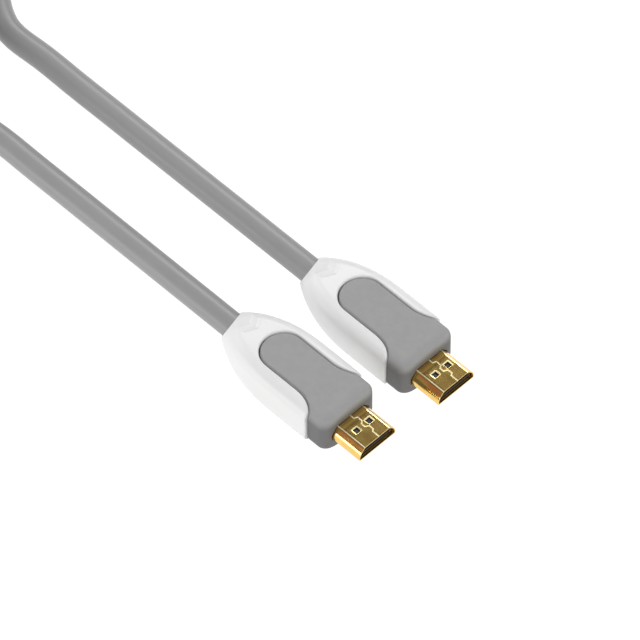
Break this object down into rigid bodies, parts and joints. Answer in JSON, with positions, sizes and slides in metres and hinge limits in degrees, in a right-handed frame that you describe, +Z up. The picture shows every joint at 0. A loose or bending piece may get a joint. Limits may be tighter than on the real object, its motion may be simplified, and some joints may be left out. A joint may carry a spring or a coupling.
{
  "type": "audio video cable",
  "caption": "Thick grey picture and sound lead with a flat gold-plated multi-contact plug in a white and grey housing on each end, its spare length coiled.",
  "frame": {"origin": "on the surface that the cable lies on, under the middle of the box around the two plugs", "axes": "+X along both plugs towards their tips, +Y from plug a to plug b, +Z up; the connectors' narrow sides face up"},
  "size_m": [0.2668, 0.0844, 0.0231],
  "materials": {
    "white_cover": "satin moulded, white",
    "grey_body": "soft matte moulded, mid grey",
    "gold_shell": "polished gold plate",
    "black_insulator": "moulded, black",
    "gold_contacts": "gold plated",
    "grey_jacket": "smooth satin flexible vinyl, mid grey"
  },
  "bodies": {
    "root": {"plug_a_cover": "white_cover", "plug_a_body": "grey_body", "plug_a_shell": "gold_shell", "plug_a_insulator": "black_insulator", "plug_a_contact_wide_1": "gold_contacts", "plug_a_contact_wide_2": "gold_contacts", "plug_a_contact_wide_3": "gold_contacts", "plug_a_contact_wide_4": "gold_contacts", "plug_a_contact_wide_5": "gold_contacts", "plug_a_contact_wide_6": "gold_contacts", "plug_a_contact_wide_7": "gold_contacts", "plug_a_contact_wide_8": "gold_contacts", "plug_a_contact_wide_9": "gold_contacts", "plug_a_contact_wide_10": "gold_contacts", "plug_a_contact_narrow_1": "gold_contacts", "plug_a_contact_narrow_2": "gold_contacts", "plug_a_contact_narrow_3": "gold_contacts", "plug_a_contact_narrow_4": "gold_contacts", "plug_a_contact_narrow_5": "gold_contacts", "plug_a_contact_narrow_6": "gold_contacts", "plug_a_contact_narrow_7": "gold_contacts", "plug_a_contact_narrow_8": "gold_contacts", "plug_a_contact_narrow_9": "gold_contacts", "plug_b_cover": "white_cover", "plug_b_body": "grey_body", "plug_b_shell": "gold_shell", "plug_b_insulator": "black_insulator", "plug_b_contact_wide_1": "gold_contacts", "plug_b_contact_wide_2": "gold_contacts", "plug_b_contact_wide_3": "gold_contacts", "plug_b_contact_wide_4": "gold_contacts", "plug_b_contact_wide_5": "gold_contacts", "plug_b_contact_wide_6": "gold_contacts", "plug_b_contact_wide_7": "gold_contacts", "plug_b_contact_wide_8": "gold_contacts", "plug_b_contact_wide_9": "gold_contacts", "plug_b_contact_wide_10": "gold_contacts", "plug_b_contact_narrow_1": "gold_contacts", "plug_b_contact_narrow_2": "gold_contacts", "plug_b_contact_narrow_3": "gold_contacts", "plug_b_contact_narrow_4": "gold_contacts", "plug_b_contact_narrow_5": "gold_contacts", "plug_b_contact_narrow_6": "gold_contacts", "plug_b_contact_narrow_7": "gold_contacts", "plug_b_contact_narrow_8": "gold_contacts", "plug_b_contact_narrow_9": "gold_contacts", "lead_run_a": "grey_jacket", "lead_run_b": "grey_jacket", "lead_coil": "grey_jacket"}
  },
  "joints": []
}
